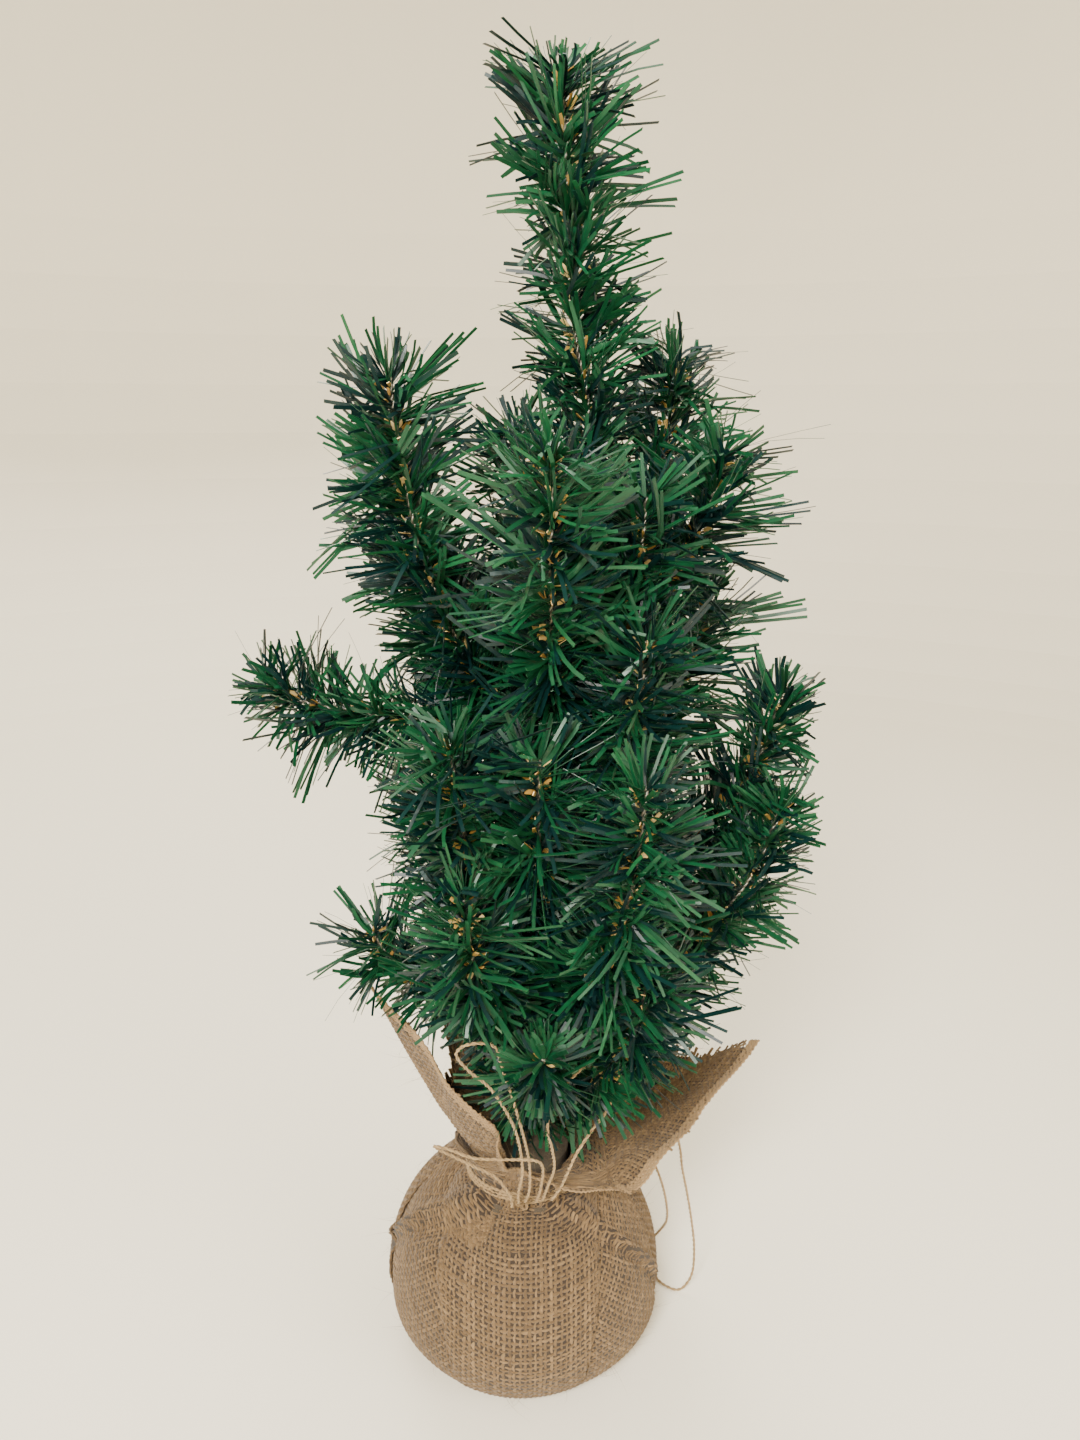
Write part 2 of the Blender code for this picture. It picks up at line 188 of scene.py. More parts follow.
def signed(bearing):
    """The same bearing between -180 and 180 degrees."""
    return (bearing + 180) % 360 - 180


def look_up(table, at):
    """Straight-line values from a table of (place, value) rows."""
    return np.interp(at, [place for place, _ in table], [value for _, value in table])


# ---------------------------------------------------------------- mesh helpers


def mesh_object(name, verts, faces, mat, smooth=True, tones=None):
    """An object from arrays; tones is one number per vertex, read by the material."""
    mesh = bpy.data.meshes.new(name)
    mesh.from_pydata(np.asarray(verts).tolist(), [], faces)
    mesh.polygons.foreach_set("use_smooth", [smooth] * len(mesh.polygons))
    if tones is not None:
        layer = mesh.attributes.new("tone", "FLOAT", "POINT")
        layer.data.foreach_set("value", np.asarray(tones, dtype=np.float32))
    mesh.materials.append(mat)
    mesh.update()
    thing = bpy.data.objects.new(name, mesh)
    bpy.context.scene.collection.objects.link(thing)
    return thing


def tangents_of(paths):
    """Unit directions along paths of shape (count, stations, 3)."""
    return unit(np.gradient(paths, axis=1))


def round_profile(sides):
    angles = 2 * np.pi * np.arange(sides) / sides
    return np.stack([np.cos(angles), np.sin(angles)], axis=1)


FLAT_PROFILE = np.array([(-1, -1), (1, -1), (1, 1), (-1, 1)], dtype=float)
ANY_ACROSS = np.array((0.3, 0.2, 1.0))  # the width direction of threads that are round


def sweep(paths, across, half_width, half_thickness, profile):
    """Closed bodies along many paths at once: vertices, faces.

    paths is (count, stations, 3), across the wanted width direction at each station,
    and the half sizes are (count, stations) or numbers.
    """
    count, stations, _ = paths.shape
    sides = len(profile)
    along = tangents_of(paths)
    side = unit(across - along * np.sum(across * along, axis=-1, keepdims=True))
    thick = np.cross(along, side)
    half_width = np.broadcast_to(half_width, (count, stations))
    half_thickness = np.broadcast_to(half_thickness, (count, stations))
    verts = (
        paths[:, :, None, :]
        + (side * half_width[..., None])[:, :, None, :] * profile[:, 0][:, None]
        + (thick * half_thickness[..., None])[:, :, None, :] * profile[:, 1][:, None]
    )
    ring = np.arange(sides)
    step = np.arange(stations - 1)[:, None] * sides
    low = step + ring
    low_next = step + (ring + 1) % sides
    quads = np.stack([low, low_next, low_next + sides, low + sides], axis=-1).reshape(-1, 4)
    base = (np.arange(count) * stations * sides)[:, None, None]
    quads = (quads[None] + base).reshape(-1, 4)
    starts = (ring[::-1][None] + base[:, 0]).reshape(-1, sides)
    ends = (ring[None] + (stations - 1) * sides + base[:, 0]).reshape(-1, sides)
    return verts.reshape(-1, 3), quads.tolist() + starts.tolist() + ends.tolist()


def running_length(points):
    """The length of a path from its start to each of its points."""
    return np.concatenate([[0], np.cumsum(np.linalg.norm(np.diff(points, axis=0), axis=1))])


class Line:
    """A path sampled by its length, with cross axes that turn as little as possible."""

    def __init__(self, points, count=160):
        points = np.asarray(points, dtype=float)
        lengths = running_length(points)
        self.length = lengths[-1]
        self.at = np.linspace(0, self.length, count)
        self.points = np.stack([np.interp(self.at, lengths, points[:, i]) for i in range(3)], axis=1)
        self.along = unit(np.gradient(self.points, axis=0))
        side = np.cross(self.along[0], (0.1, 1.0, 0.05))
        sides = []
        for along in self.along:
            side = side - along * side.dot(along)
            side = side / np.linalg.norm(side)
            sides.append(side)
        self.side = np.array(sides)
        self.other = np.cross(self.along, self.side)

    def frame_at(self, wanted):
        index = np.clip(np.searchsorted(self.at, wanted), 1, len(self.at) - 1)
        share = ((wanted - self.at[index - 1]) / (self.at[1] - self.at[0]))[..., None]
        point = self.points[index - 1] + (self.points[index] - self.points[index - 1]) * share
        return point, self.along[index], self.side[index], self.other[index]


def outward_at(line, at, angle):
    """Points of a line, its directions there, and the directions out from it at an angle round it."""
    point, along, side, other = line.frame_at(at)
    return point, along, np.cos(angle)[:, None] * side + np.sin(angle)[:, None] * other


def wisps(name, mat, start, heading, curl, length, radius, tone, stations=6, taper=1.15, lowest=0.3 * MM):
    """Hair-thin fibres that curl away from their starts, as one object."""
    share = np.linspace(0, 1, stations)
    paths = start[:, None] + length[:, None, None] * (
        heading[:, None] * share[:, None] + curl[:, None] * (share**2)[:, None]
    )
    paths[..., 2] = np.maximum(paths[..., 2], lowest)
    across = np.broadcast_to(ANY_ACROSS, paths.shape)
    thin = radius * (taper - share)[None]
    verts, faces = sweep(paths, across, thin, thin, round_profile(3))
    return mesh_object(name, verts, faces, mat, tones=np.full(len(verts), tone))


def smooth_points(points, steps=24):
    """The curve through the given points that the solids' twine follows."""
    points = [Vector(p) for p in points]
    fine = []
    for i in range(len(points) - 1):
        before = points[max(i - 1, 0)]
        after = points[min(i + 2, len(points) - 1)]
        handle_a = points[i] + (points[i + 1] - before) / 6
        handle_b = points[i + 1] - (after - points[i]) / 6
        piece = interpolate_bezier(points[i], handle_a, handle_b, points[i + 1], steps)
        fine += piece if i == 0 else piece[1:]
    return np.array([tuple(p) for p in fine])


# ---------------------------------------------------------------- materials


def new_material(name):
    mat = bpy.data.materials.new(name)
    mat.use_nodes = True
    tree = mat.node_tree
    return mat, tree, tree.nodes["Principled BSDF"]


def node(tree, kind, inputs=None, **settings):
    made = tree.nodes.new(kind)
    for key, value in settings.items():
        setattr(made, key, value)
    for key, value in (inputs or {}).items():
        made.inputs[key].default_value = value
    return made


def ramp(tree, source, stops):
    made = node(tree, "ShaderNodeValToRGB")
    elements = made.color_ramp.elements
    while len(elements) < len(stops):
        elements.new(0.5)
    for element, (place, colour) in zip(elements, stops):
        element.position = place
        element.color = (*colour, 1)
    tree.links.new(source, made.inputs["Fac"])
    return made.outputs["Color"]


def tone_of(tree):
    return node(tree, "ShaderNodeAttribute", attribute_name="tone").outputs["Fac"]


def noise(tree, scale, detail=3, roughness=0.6):
    coords = node(tree, "ShaderNodeTexCoord").outputs["Object"]
    made = node(tree, "ShaderNodeTexNoise", {"Scale": scale, "Detail": detail, "Roughness": roughness})
    tree.links.new(coords, made.inputs["Vector"])
    return made.outputs["Fac"]


def mix_colour(tree, factor, a, b, blend="MIX"):
    made = node(tree, "ShaderNodeMix", data_type="RGBA", blend_type=blend)
    for socket, value in ((0, factor), (6, a), (7, b)):
        if isinstance(value, bpy.types.NodeSocket):
            tree.links.new(value, made.inputs[socket])
        elif socket == 0:
            made.inputs[socket].default_value = value
        else:
            made.inputs[socket].default_value = (*value, 1)
    return made.outputs[2]


def bump(tree, shader, height, distance, strength=1.0):
    made = node(tree, "ShaderNodeBump", {"Distance": distance, "Strength": strength})
    tree.links.new(height, made.inputs["Height"])
    tree.links.new(made.outputs["Normal"], shader.inputs["Normal"])


def needle_material():
    """Two greens of glossy film; each cut strip has its own tone."""
    mat, tree, shader = new_material("needle_film")
    colour = ramp(tree, tone_of(tree), (
        (0.0, (0.0010, 0.012, 0.013)),
        (0.38, (0.002, 0.024, 0.020)),
        (0.46, (0.003, 0.040, 0.017)),
        (0.80, (0.005, 0.062, 0.022)),
        (1.0, (0.010, 0.092, 0.031)),
    ))
    mottle = mix_colour(tree, noise(tree, 260), (0.75, 0.75, 0.75), (1.2, 1.2, 1.2))
    tree.links.new(mix_colour(tree, 1.0, colour, mottle, "MULTIPLY"), shader.inputs["Base Color"])
    shader.inputs["Roughness"].default_value = 0.36
    shader.inputs["Specular IOR Level"].default_value = 0.33
    bump(tree, shader, noise(tree, 900), 0.00005, 0.5)
    return mat


def fleck_material():
    """Short gold-brown strips between the needles."""
    mat, tree, shader = new_material("gold_brown_film")
    colour = ramp(tree, tone_of(tree), (
        (0.0, (0.36, 0.19, 0.04)),
        (0.5, (0.58, 0.36, 0.09)),
        (1.0, (0.78, 0.58, 0.26)),
    ))
    tree.links.new(colour, shader.inputs["Base Color"])
    shader.inputs["Roughness"].default_value = 0.38
    shader.inputs["Metallic"].default_value = 0.25
    bump(tree, shader, noise(tree, 1400), 0.0001, 0.6)
    return mat


def patchy_material(name, patches, stops, roughness, grain, depth, strength=1.0, metallic=0.0):
    """A surface whose colour varies in patches, over a fine grain; each is a noise's scale and detail."""
    mat, tree, shader = new_material(name)
    tree.links.new(ramp(tree, noise(tree, *patches), stops), shader.inputs["Base Color"])
    shader.inputs["Metallic"].default_value = metallic
    shader.inputs["Roughness"].default_value = roughness
    bump(tree, shader, noise(tree, *grain), depth, strength)
    return mat


def wire_material():
    stops = ((0.35, (0.16, 0.15, 0.12)), (0.7, (0.32, 0.30, 0.24)))
    return patchy_material("twisted_wire", (300, 3), stops, 0.42, (1200, 3), 0.04 * MM, 0.5, metallic=0.9)


def jute_material(name, dark, mid, light, fibre_scale):
    """Spun jute: tone varies by thread, with fine fibres running through it."""
    mat, tree, shader = new_material(name)
    base = ramp(tree, tone_of(tree), ((0.0, dark), (0.5, mid), (1.0, light)))
    fibre = noise(tree, fibre_scale, detail=5, roughness=0.75)
    streak = mix_colour(tree, fibre, (0.52, 0.50, 0.47), (1.42, 1.42, 1.40))
    tree.links.new(mix_colour(tree, 1.0, base, streak, "MULTIPLY"), shader.inputs["Base Color"])
    shader.inputs["Roughness"].default_value = 0.85
    shader.inputs["Sheen Weight"].default_value = 0.10
    shader.inputs["Sheen Roughness"].default_value = 0.6
    bump(tree, shader, fibre, 0.00025, 0.9)
    return mat


def cement_and_shade_material():
    # The cement's own grey-brown, darkened further as painted shade so that any patch seen through the
    # cloth reads as shadow
    stops = ((0.3, (0.050, 0.038, 0.024)), (0.7, (0.095, 0.074, 0.050)))
    return patchy_material("cement_painted_shade", (90, 6), stops, 0.92, (420, 6), 0.8 * MM)


def steel_material():
    stops = ((0.3, (0.10, 0.10, 0.09)), (0.7, (0.26, 0.26, 0.25)))
    return patchy_material("trunk_steel", (160, 5), stops, 0.45, (700, 3), 0.1 * MM, 0.6, metallic=0.9)


def tape_material():
    stops = ((0.3, (0.010, 0.050, 0.018)), (0.7, (0.030, 0.110, 0.040)))
    return patchy_material("floral_tape", (150, 5), stops, 0.62, (500, 5), 0.4 * MM)


# ---------------------------------------------------------------- spines


def pitch():
    """The height between one whorl and the next."""
    return (LAST_WHORL - FIRST_WHORL) / (WHORLS - 1)


def whorl_height(whorl):
    return FIRST_WHORL + whorl * pitch()


def trunk_centre(height):
    share = max(0.0, (height - NECK_HEIGHT) / (ROD_TOP - NECK_HEIGHT))
    return np.array((ROD_DRIFT * share**ROD_CURVE, 0, height))


def branch_spine(whorl, bearing, reach, rise, turn):
    """The wire's line, from its hinge at the trunk to its tip."""
    angle = math.radians(bearing)
    out = np.array((math.cos(angle), math.sin(angle), 0))
    up = np.array((0, 0, pitch() * rise))
    centre = trunk_centre(whorl_height(whorl))
    start = centre + (BINDING_RADIUS + HINGE_CLEARANCE) * out
    spread = STRAIGHT + turn * (SPREAD - STRAIGHT)
    lift = STRAIGHT + turn * (LIFT - STRAIGHT)
    corner = centre + spread * reach * MM * out + lift * up
    end = centre + reach * MM * out + up
    share = np.linspace(0, 1, 60)[:, None]
    return (1 - share) ** 2 * start + 2 * (1 - share) * share * corner + share**2 * end


def leader_spine():
    foot = trunk_centre(ROD_TOP) + np.array((0, 0, HINGE_CLEARANCE))
    points = [tuple(foot)]
    for k, sway in enumerate(LEADER_SWAY):
        height = LEADER_LENGTH * (k + LEADER_FIRST) / (len(LEADER_SWAY) - 1 + LEADER_FIRST)
        points.append(tuple(foot + np.array((sway * MM, 0, height))))
    return smooth_points(points)


# ---------------------------------------------------------------- burlap surface


UNDERSIDE = 1.1 * MM  # the middle of the cloth where the weight stands on it
CLOTH_LOWEST = 1.0 * MM


def ball_outline():
    """Radius and height of the cloth's middle surface, from the centre of the underside."""
    quarter = np.linspace(0, np.pi / 2, 40)
    shoulder = NECK_HEIGHT - NECK_STRAIGHT - SHOULDER_GAP - BALL_WAIST
    lower = np.stack([
        BASE_RADIUS + (BALL_RADIUS - BASE_RADIUS) * np.sin(quarter),
        BALL_WAIST * (1 - np.cos(quarter)),
    ], axis=1)
    upper = np.stack([
        NECK_RADIUS + (BALL_RADIUS - NECK_RADIUS) * np.cos(quarter),
        BALL_WAIST + shoulder * np.sin(quarter),
    ], axis=1)
    outline = np.concatenate([[(0, 0)], lower, upper[1:], [(NECK_RADIUS, NECK_HEIGHT)]])
    outline[:, 0] = np.maximum(outline[:, 0] - CLOTH / 2, 0)
    outline[:, 1] = np.maximum(outline[:, 1], UNDERSIDE)
    return outline


OUTLINE = ball_outline()
ARC = running_length(OUTLINE)
TIE_ARC = ARC[-1]
HALF_SHEET = 200 * MM

# The square is not quite centred under the weight: less of it comes up at the front
OFF_CENTRE = 14 * MM

# Which way each part of the square faces once it is gathered: its own bearing, and the
# bearing it ends up at above the tie
TURNED = (
    (-90, -90), (-75, -68), (-67, -42), (-60, -30), (-52, -12), (-46, -3), (-42, 3), (0, 34), (45, 68),
    (90, 98), (135, 132), (180, 158), (222, 184), (227, 203), (231, 218), (240, 252), (270, 270),
)
# Bearing, and how far the cloth above the tie leans out there
LEAN = (
    (-180, 26), (-145, 19), (-105, 18), (-90, 34), (-65, 62), (-41, 74), (-30, 62), (-12, 55), (3, 52),
    (38, 42), (66, 28), (90, 26), (140, 28), (180, 26),
)
# Knife pleats: the bearing on the square, and which side lies on top. Their half widths and
# the softness of their edges are in degrees
PLEATS = ((-66, 1), (-22, 1), (14, 1), (58, -1), (98, 1), (142, -1), (186, 1), (244, -1))
PLEAT_LEAST = 0.02
PLEAT_MOST = 9.0
PLEAT_SOFT = 0.35
PLEAT_STEP = 1.5 * MM
PLEAT_FADE = 14.0
STAYS_PLEATED = 0.1
PUSHED_IN_MOST = 2.6 * MM

# Wrinkles round the cloth: waves in a full turn, their size and where they start
FINE_WAVES = ((17, 1.0, 0.6), (29, 0.7, 2.1), (43, 0.5, 4.0))
WIDE_WAVES = ((6, 1.0, 1.0), (11, 0.6, 3.3))

# Bearing and height in mm along the two big folds of the ball's front
LEFT_FOLD = ((-182, 36), (-175, 48), (-157, 70), (-135, 79), (-111, 83))
RIGHT_FOLD = ((-84, 87), (-62, 82), (-40, 72), (-23, 47), (-12, 24))
# In mm: how high each fold's ridge is, how deep its groove, how far below and how wide
LEFT_SHAPE = (3.4, 3.6, 5, 4)
RIGHT_SHAPE = (2.6, 3.0, 4, 3.5)


def pleated(own, too_much, above):
    """The bearing of each point once the pleats are laid, and how deep it lies in them.

    Pleats take up the share of the square that is too much, and open again above the tie.
    """
    count = len(PLEATS)
    open_again = 1 - (1 - STAYS_PLEATED) * smoothstep(2 * MM, 34 * MM, above)
    half = np.clip(360 * too_much * open_again / (4 * count), PLEAT_LEAST, PLEAT_MOST)
    gain = 360 / (360 - 4 * half * count)
    layer = np.zeros_like(own)
    folded = own.copy()
    for bearing, top in PLEATS:
        x = own - bearing
        held = (np.sqrt((x + half) ** 2 + PLEAT_SOFT) - np.sqrt((x - half) ** 2 + PLEAT_SOFT)) / 2
        folded = folded - 2 * (held + half)
        side = signed(x) * top
        depth = np.clip(1 + side / half, 0, 2) * np.exp(-np.maximum(side - half, 0) / PLEAT_FADE)
        layer = layer - PLEAT_STEP * depth * np.clip(half / 2.0, 0, 1)
    return gain * (folded + 90) - 90, layer


def gathered(bearing, s):
    """The bearing once the cloth has been turned as it goes through the tie."""
    wrapped = (bearing + 90) % 360 - 90
    turned = look_up(TURNED, wrapped) + (bearing - wrapped)
    return bearing + (turned - bearing) * smoothstep(TIE_ARC - 30 * MM, TIE_ARC + 12 * MM, s)


def cloth(u, v):
    """Where a point of the flat square ends up, for arrays of places on the square."""
    v = v + OFF_CENTRE
    s = np.hypot(u, v)
    above = np.maximum(s - TIE_ARC, 0)
    own = (np.degrees(np.arctan2(v, u)) + 90) % 360 - 90
    arc = np.minimum(s, TIE_ARC)
    radius = np.interp(arc, ARC, OUTLINE[:, 0])
    height = np.interp(arc, ARC, OUTLINE[:, 1])
    too_much = np.clip(1 - radius / np.maximum(s, 1e-6), 0, 1)
    bearing, layer = pleated(own, too_much, above)
    theta = gathered(bearing, s)

    # above the tie the cloth leans out
    curl = np.radians(look_up(LEAN, signed(theta))) * smoothstep(-4 * MM, 22 * MM, above)
    radius = radius + above * np.sin(curl)
    height = height + above * np.cos(curl)

    # folds, wrinkles and dents push it along the outward direction across it
    slope_r = np.interp(arc, ARC[1:], np.diff(OUTLINE[:, 0]) / np.diff(ARC))
    slope_z = np.interp(arc, ARC[1:], np.diff(OUTLINE[:, 1]) / np.diff(ARC))
    out_r = np.where(above > 0, np.cos(curl), slope_z)
    out_z = np.where(above > 0, -np.sin(curl), -slope_r)
    push = layer * smoothstep(45 * MM, 75 * MM, s) + gathers(own, s, above) + dents(theta, height, above)
    push = np.where(above > 0, push, np.maximum(push, -PUSHED_IN_MOST))
    radius = radius + push * out_r
    height = np.maximum(height + push * out_z, CLOTH_LOWEST)
    angle = np.radians(theta)
    return np.stack([radius * np.cos(angle), radius * np.sin(angle), height], axis=-1)


def cloth_normal(u, v, step=0.4 * MM):
    """Unit directions across the cloth."""
    du = cloth(u + step, v) - cloth(u - step, v)
    dv = cloth(u, v + step) - cloth(u, v - step)
    return unit(np.cross(du, dv))


def waves(turn, table):
    return sum(size * np.sin(count * turn + start) for count, size, start in table)


def gathers(own, s, above):
    """Fine wrinkles that run into the tie, ruffles above it, and a slight unevenness all over."""
    turn = np.radians(own)
    fine = waves(turn, FINE_WAVES)
    wrinkle = 0.9 * MM * fine * bell(s, TIE_ARC, 34 * MM) * (above <= 0)
    ruffle = (1.2 * MM + 0.045 * above) * smoothstep(0, 25 * MM, above)
    squeeze = -1.6 * MM * bell(s, TIE_ARC - 4 * MM, 5 * MM)
    uneven = 0.35 * MM * np.sin(5 * turn + s * 60)
    return wrinkle + waves(turn, WIDE_WAVES) * ruffle + 0.3 * ruffle * fine + squeeze + uneven


def fold(theta, height, route, shape):
    """Push of one fold: a ridge just above its line and a groove below it, fading at both ends."""
    ridge, groove, below, width = shape
    off = height - look_up(route, theta) * MM
    near = smoothstep(route[0][0] - 4, route[0][0] + 6, theta)
    near = near * (1 - smoothstep(route[-1][0] - 6, route[-1][0] + 4, theta))
    raised = ridge * MM * bell(off, 2.5 * MM, 4 * MM)
    return near * (raised - groove * MM * bell(off, -below * MM, width * MM))


def dents(theta, height, above):
    """The arched fold and its pocket at the ball's front left, the crease at its front right
    and the fuller panel between them."""
    spun = signed(theta)
    shape = fold(spun, height, LEFT_FOLD, LEFT_SHAPE)
    shape = shape + 2.6 * MM * bell(spun, -134, 15) * bell(height, 60 * MM, 13 * MM)
    shape = shape - 3.0 * MM * bell(spun, -121, 9) * bell(height, 75 * MM, 6 * MM)
    shape = shape + fold(spun, height, RIGHT_FOLD, RIGHT_SHAPE)
    panel = bell(spun, -89, 21) * smoothstep(4 * MM, 30 * MM, height)
    panel = panel * (1 - smoothstep(70 * MM, 84 * MM, height))
    return (shape + 1.5 * MM * panel) * (above <= 0)


# ---------------------------------------------------------------- burlap


THREAD_PITCH = 2.3 * MM
RAW_EDGE = 6 * MM  # the fringe
# The sheet of painted shade under the threads: its grid steps and half thickness
SHADE_SHEET_STEPS = 170
SHADE_SHEET_HALF = 0.12 * MM
WEAVE_LIFT = 0.36 * MM  # how far a thread goes over and under
THREAD_HALF = 0.64 * MM
THREAD_THICK = 0.40 * MM
SPLAY = 0.26 * MM  # how far the warp swings from side to side between the weft
SELVAGE_PLACES = np.array((0.7, 1.9, 3.1, 4.3, 5.5)) * MM
SELVAGE_STEP = 1.5 * MM


def painted_shade_sheet(mat):
    """The square as one thin closed dark sheet just under its threads: painted shade, for the shadow seen
    through the gaps between them.
    """
    count = SHADE_SHEET_STEPS + 1
    line = np.linspace(-HALF_SHEET + RAW_EDGE, HALF_SHEET - RAW_EDGE, count)
    u, v = np.meshgrid(line, line, indexing="ij")
    middle = cloth(u, v)
    half = cloth_normal(u, v) * SHADE_SHEET_HALF
    top = (middle + half).reshape(-1, 3)
    under = (middle - half).reshape(-1, 3)
    index = np.arange(count**2).reshape(count, count)
    a, b, c, d = index[:-1, :-1], index[1:, :-1], index[1:, 1:], index[:-1, 1:]
    face = np.stack([a, b, c, d], axis=-1).reshape(-1, 4)
    below = face[:, ::-1] + len(top)
    rim = np.concatenate([index[:-1, 0], index[-1, :-1], index[:0:-1, -1], index[0, :0:-1]])
    after = np.roll(rim, -1)
    wall = np.stack([rim, rim + len(top), after + len(top), after], axis=-1)
    faces = np.concatenate([face, below, wall]).tolist()
    verts = np.concatenate([top, under])
    return mesh_object("burlap_shade_sheet", verts, faces, mat, tones=np.full(len(verts), 0.15))


def threads(name, along_u, mat):
    """All the threads of one direction, over and under the other direction's."""
    count = int(2 * (HALF_SHEET - RAW_EDGE) / THREAD_PITCH)
    stations = int(2 * HALF_SHEET / THREAD_PITCH) + 1
    place = (np.arange(count) - (count - 1) / 2) * THREAD_PITCH
    along = (np.arange(stations) - (stations - 1) / 2) * THREAD_PITCH
    wobble = 0.22 * MM * np.sin(along[None] * 70 + RNG.uniform(0, 6.3, count)[:, None])
    wobble = wobble + 0.18 * MM * np.sin(along[None] * 210 + RNG.uniform(0, 6.3, count)[:, None])
    across = place[:, None] + wobble + RNG.normal(0, 0.12 * MM, (count, 1))
    parity = (np.arange(count)[:, None] + np.arange(stations)[None] + (1 if along_u else 0)) % 2
    if not along_u:
        across = across + SPLAY * (2 * parity - 1)
    woven = HALF_SHEET - RAW_EDGE
    past = np.maximum(np.abs(along)[None] - woven, 0) * RNG.uniform(0.1, 1.5, (count, 1))
    along = np.sign(along)[None] * (np.minimum(np.abs(along), woven)[None] + past)
    u, v = (along, across) if along_u else (across, along)
    normal = cloth_normal(u, v)
    paths = cloth(u, v) + normal * (WEAVE_LIFT * (2 * parity - 1))[..., None]
    width = THREAD_HALF * RNG.uniform(0.75, 1.25, (count, 1)) * RNG.uniform(0.8, 1.2, across.shape)
    thread_across = np.cross(normal, tangents_of(paths))
    verts, faces = sweep(paths, thread_across, width, THREAD_THICK, round_profile(6))
    tone = np.clip(RNG.normal(0.5, 0.12, (count, 1)) + RNG.normal(0, 0.09, across.shape), 0, 1)
    return mesh_object(name, verts, faces, mat, tones=np.repeat(tone.reshape(-1), 6))


def selvage(name, mat):
    """The front edge's firm band of threads packed side by side."""
    along = np.arange(-HALF_SHEET, HALF_SHEET, SELVAGE_STEP)
    parity = (np.arange(len(along))[None] + np.arange(len(SELVAGE_PLACES))[:, None]) % 2
    v = np.broadcast_to(SELVAGE_PLACES[:, None] - HALF_SHEET, parity.shape)
    u = np.broadcast_to(along, parity.shape)
    normal = cloth_normal(u, v)
    paths = cloth(u, v) + normal * (0.3 * MM * (2 * parity - 1))[..., None]
    across = np.cross(normal, tangents_of(paths))
    verts, faces = sweep(paths, across, 0.68 * MM, 0.5 * MM, round_profile(6))
    return mesh_object(name, verts, faces, mat, tones=np.full(len(verts), 0.92))


def stray_fibres(name, mat, count=1500):
    """Loose ends of jute that stand out from the cloth."""
    u = RNG.uniform(-HALF_SHEET, HALF_SHEET, count)
    v = RNG.uniform(-HALF_SHEET, HALF_SHEET, count)
    start = cloth(u, v)
    outward = unit(start * np.array((1, 1, 0)))
    heading = unit(outward * 0.7 + RNG.normal(0, 0.75, (count, 3)))
    curl = RNG.normal(0, 0.55, (count, 3))
    length = RNG.uniform(3, 11, count) * MM
    radius = 0.055 * MM * RNG.uniform(0.7, 1.3, (count, 1))
    return wisps(name, mat, start, heading, curl, length, radius, 0.85, taper=1.2, lowest=0.4 * MM)


BURLAP_TONES = ((0.060, 0.033, 0.012), (0.135, 0.080, 0.031), (0.28, 0.178, 0.080))
SHADE_TONES = ((0.022, 0.012, 0.005), (0.032, 0.019, 0.008), (0.05, 0.03, 0.014))
TWINE_TONES = ((0.13, 0.078, 0.030), (0.25, 0.160, 0.068), (0.42, 0.30, 0.15))


def make_burlap():
    jute = jute_material("burlap_jute", *BURLAP_TONES, 520)
    # The dark sheet under the threads is painted shade, for the shadow in the gaps of the weave
    shade = jute_material("burlap_shade", *SHADE_TONES, 520)
    shade_sheet = painted_shade_sheet(shade)
    pieces = [
        threads("burlap_warp", False, jute),
        threads("burlap_weft", True, jute),
        selvage("burlap_selvage", jute),
        stray_fibres("burlap_fibres", jute),
    ]
    for piece in [shade_sheet] + pieces:
        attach(piece, "stand")
    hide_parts("burlap_wrap")


# ---------------------------------------------------------------- twine


def twisted(name, points, radius, mat, lay=5.5 * MM, plies=2, stations_per_lay=9):
    """Plies laid round each other along a line, as one object."""
    line = Line(points, 400)
    count = max(8, int(line.length / lay * stations_per_lay))
    at = np.linspace(0, line.length, count)
    point, _, side, other = line.frame_at(at)
    paths = []
    for ply in range(plies):
        angle = 2 * np.pi * (at / lay + ply / plies)
        offset = np.cos(angle)[:, None] * side + np.sin(angle)[:, None] * other
        paths.append(point + offset * radius * 0.47)
    paths = np.array(paths)
    across = np.broadcast_to(side, paths.shape)
    swell = radius * 0.56 * RNG.uniform(0.88, 1.12, paths.shape[:2])
    verts, faces = sweep(paths, across, swell, swell, round_profile(7))
    tone = np.clip(0.6 + RNG.normal(0, 0.14, (plies, 1)) + RNG.normal(0, 0.07, (plies, count)), 0, 1)
    return mesh_object(name, verts, faces, mat, tones=np.repeat(tone.reshape(-1), 7))


def frayed_end(name, points, mat, count=26, length=7 * MM):
    """Fibres that splay from the cut end of a twine."""
    end = np.array(points[-1])
    heading = unit(end - np.array(points[-12]))
    splay = unit(heading + RNG.normal(0, 0.33, (count, 3)))
    curl = RNG.normal(0, 0.25, (count, 3))
    reach = length * RNG.uniform(0.4, 1.0, count)
    start = end - heading * 1.0 * MM + RNG.normal(0, 0.25 * MM, (count, 3))
    return wisps(name, mat, start, splay, curl, reach, 0.09 * MM, 0.9)


def twine_fuzz(name, points, mat, per_mm=0.9):
    """Short hairs along a twine."""
    line = Line(points, 300)
    count = int(line.length / MM * per_mm)
    at = RNG.uniform(0, line.length, count)
    point, along, outward = outward_at(line, at, RNG.uniform(0, 2 * np.pi, count))
    heading = unit(outward + along * RNG.normal(0, 0.9, (count, 1)))
    curl = RNG.normal(0, 0.5, (count, 3))
    reach = RNG.uniform(0.8, 3.2, count) * MM
    start = point + outward * TWINE_DIAMETER * 0.35
    return wisps(name, mat, start, heading, curl, reach, 0.04 * MM, 0.8, stations=4)


